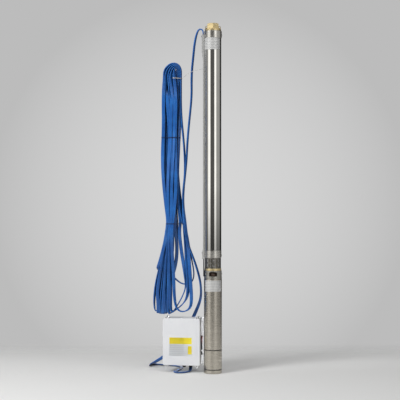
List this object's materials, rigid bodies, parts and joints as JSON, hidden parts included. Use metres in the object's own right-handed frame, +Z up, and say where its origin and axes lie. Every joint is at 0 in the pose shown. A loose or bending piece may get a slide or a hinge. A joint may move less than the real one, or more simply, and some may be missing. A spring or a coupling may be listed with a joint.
{
  "type": "borehole submersible pump",
  "caption": "Slim multistage borehole pump on a wet motor, with brass outlet, strainer, side cable guard, hank of flat cable and a switched control box.",
  "frame": {"origin": "centre of the motor's flat base, on the pump axis", "axes": "+Z up along the shaft towards the outlet, front towards -Y, cable and box towards -X"},
  "size_m": [0.3201, 0.2576, 1.485],
  "materials": {
    "brass": "machined, slightly dull",
    "shell_steel": "mirror-polished stainless steel",
    "motor_steel": "satin stainless steel",
    "bracket_steel": "cast stainless steel, machined",
    "strainer_steel": "slotted stainless sheet",
    "bright_steel": "turned stainless steel",
    "lamination": "varnished electrical steel",
    "copper_winding": "insulated copper wire",
    "carbon": "carbon graphite",
    "rubber": "moulded rubber",
    "stage_plastic": "glass-filled noryl",
    "impeller_plastic": "acetal",
    "cable_blue": "matt blue flat cable sheath",
    "tie_plastic": "nylon tie",
    "line_plastic": "twisted nylon twine",
    "box_plastic": "white ABS, fine texture",
    "black_plastic": "black moulded plastic",
    "red_plastic": "translucent red rocker",
    "screw_steel": "blackened steel",
    "can_aluminium": "drawn aluminium can",
    "terminal_plastic": "natural polyamide"
  },
  "bodies": {
    "root": {"base_cover": "motor_steel", "lower_housing": "motor_steel", "motor_shell": "motor_steel", "pressure_diaphragm": "rubber", "thrust_plate": "bright_steel", "thrust_pads": "carbon", "bearing_carrier": "bracket_steel", "lower_bush": "carbon", "upper_bush": "carbon", "stator_core": "lamination", "stator_windings": "copper_winding", "motor_bracket": "bracket_steel", "shaft_seal": "rubber", "lead_plug": "rubber", "suction_bracket": "brass", "suction_collar": "bright_steel", "inlet_strainer": "strainer_steel", "strainer_seam": "strainer_steel", "seam_rivets": "bright_steel", "pump_shell": "shell_steel", "diffuser_bowls": "stage_plastic", "bearing_spider": "stage_plastic", "spider_bush": "rubber", "head_ring": "bright_steel", "discharge_head": "brass", "valve_seat": "rubber", "valve_guide": "stage_plastic", "cable_guard": "shell_steel", "guard_screws": "bright_steel", "ring_screws": "bright_steel", "motor_lead": "cable_blue", "lead_cable": "cable_blue", "cable_hank": "cable_blue", "tail_cable": "cable_blue", "hank_ties": "tie_plastic", "hang_line": "line_plastic", "box_base": "box_plastic", "box_lid": "box_plastic", "lid_gasket": "rubber", "lid_screws": "screw_steel", "switch_frame": "black_plastic", "breaker": "black_plastic", "side_screw": "screw_steel", "capacitor": "can_aluminium", "capacitor_clip": "bright_steel", "terminal_block": "terminal_plastic", "cable_glands": "black_plastic", "gland_nuts": "black_plastic"},
    "rotor": {"motor_shaft": "bright_steel", "rotor_core": "lamination", "thrust_runner": "carbon", "sand_slinger": "rubber", "coupling": "bright_steel", "pump_shaft": "bright_steel", "impellers": "impeller_plastic", "shaft_sleeves": "bright_steel"},
    "valve": {"valve_poppet": "impeller_plastic"},
    "rocker": {"rocker": "red_plastic"},
    "button": {"reset_button": "black_plastic"}
  },
  "joints": [
    {"name": "rotor_spin", "type": "hinge", "parent": "root", "child": "rotor", "pos_m": [0, 0, 0.1], "axis": [0, 0, 1], "continuous": true},
    {"name": "valve_lift", "type": "slide", "parent": "root", "child": "valve", "axis": [0, 0, 1], "range_m": [0, 0.009]},
    {"name": "rocker_tilt", "type": "hinge", "parent": "root", "child": "rocker", "pos_m": [-0.05553, 0.03457, 0.1405], "axis": [0.1736, 0.9848, 0], "range_deg": [-18, 0]},
    {"name": "reset_press", "type": "slide", "parent": "root", "child": "button", "axis": [0.9848, -0.1736, 0], "range_m": [-0.0025, 0], "stiffness_N_per_m": 300}
  ]
}
